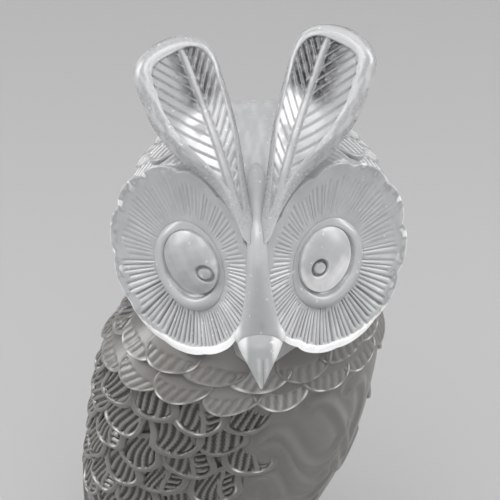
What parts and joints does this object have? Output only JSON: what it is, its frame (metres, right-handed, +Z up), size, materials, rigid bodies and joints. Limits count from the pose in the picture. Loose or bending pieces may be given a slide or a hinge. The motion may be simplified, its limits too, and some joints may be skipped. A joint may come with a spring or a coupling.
{
  "type": "owl figurine",
  "caption": "Standing owl carved in clear crystal with a frosted finish, tall ear tufts, ringed eyes and barbed feathers.",
  "frame": {"origin": "middle of the flat underside that the owl rests on", "axes": "+Z up; the face looks along -Y; +X is the owl's own left"},
  "size_m": [0.0498, 0.0587, 0.1117],
  "materials": {
    "crystal_head": "ground rock crystal, light grey, polished edges",
    "crystal_ear": "polished rock crystal with ground barbs",
    "crystal_body": "ground rock crystal, darker and slightly warm",
    "cabochon": "polished domed rock crystal"
  },
  "bodies": {
    "root": {"back_feathers_row_1": "crystal_body", "back_feathers_row_2": "crystal_body", "back_feathers_row_3": "crystal_body", "back_feathers_row_4": "crystal_body", "back_feathers_row_5": "crystal_body", "back_feathers_row_6": "crystal_body", "back_feathers_row_7": "crystal_body", "back_feathers_row_8": "crystal_body", "beak": "crystal_head", "breast": "crystal_body", "breast_scallops": "crystal_body", "brow_ridge": "crystal_head", "cheek_feathers_left": "crystal_head", "cheek_feathers_right": "crystal_head", "coverts_left_row_1": "crystal_body", "coverts_left_row_2": "crystal_body", "coverts_left_row_3": "crystal_body", "coverts_left_row_4": "crystal_body", "coverts_left_row_5": "crystal_body", "coverts_left_row_6": "crystal_body", "coverts_right_row_1": "crystal_body", "coverts_right_row_2": "crystal_body", "coverts_right_row_3": "crystal_body", "coverts_right_row_4": "crystal_body", "coverts_right_row_5": "crystal_body", "coverts_right_row_6": "crystal_body", "ear_tuft_left": "crystal_ear", "ear_tuft_right": "crystal_ear", "eye_left": "cabochon", "eye_right": "cabochon", "eye_ring_left": "crystal_head", "eye_ring_right": "crystal_head", "facial_disc_left": "crystal_head", "facial_disc_right": "crystal_head", "flight_feathers_left": "crystal_body", "flight_feathers_right": "crystal_body", "foot_left": "crystal_body", "foot_right": "crystal_body", "head": "crystal_head", "mantle": "crystal_body", "nape_feathers": "crystal_head", "ruff_row_lower": "crystal_body", "ruff_row_upper": "crystal_body", "tail": "crystal_body", "torso": "crystal_body", "wing_left": "crystal_body", "wing_right": "crystal_body"}
  },
  "joints": []
}
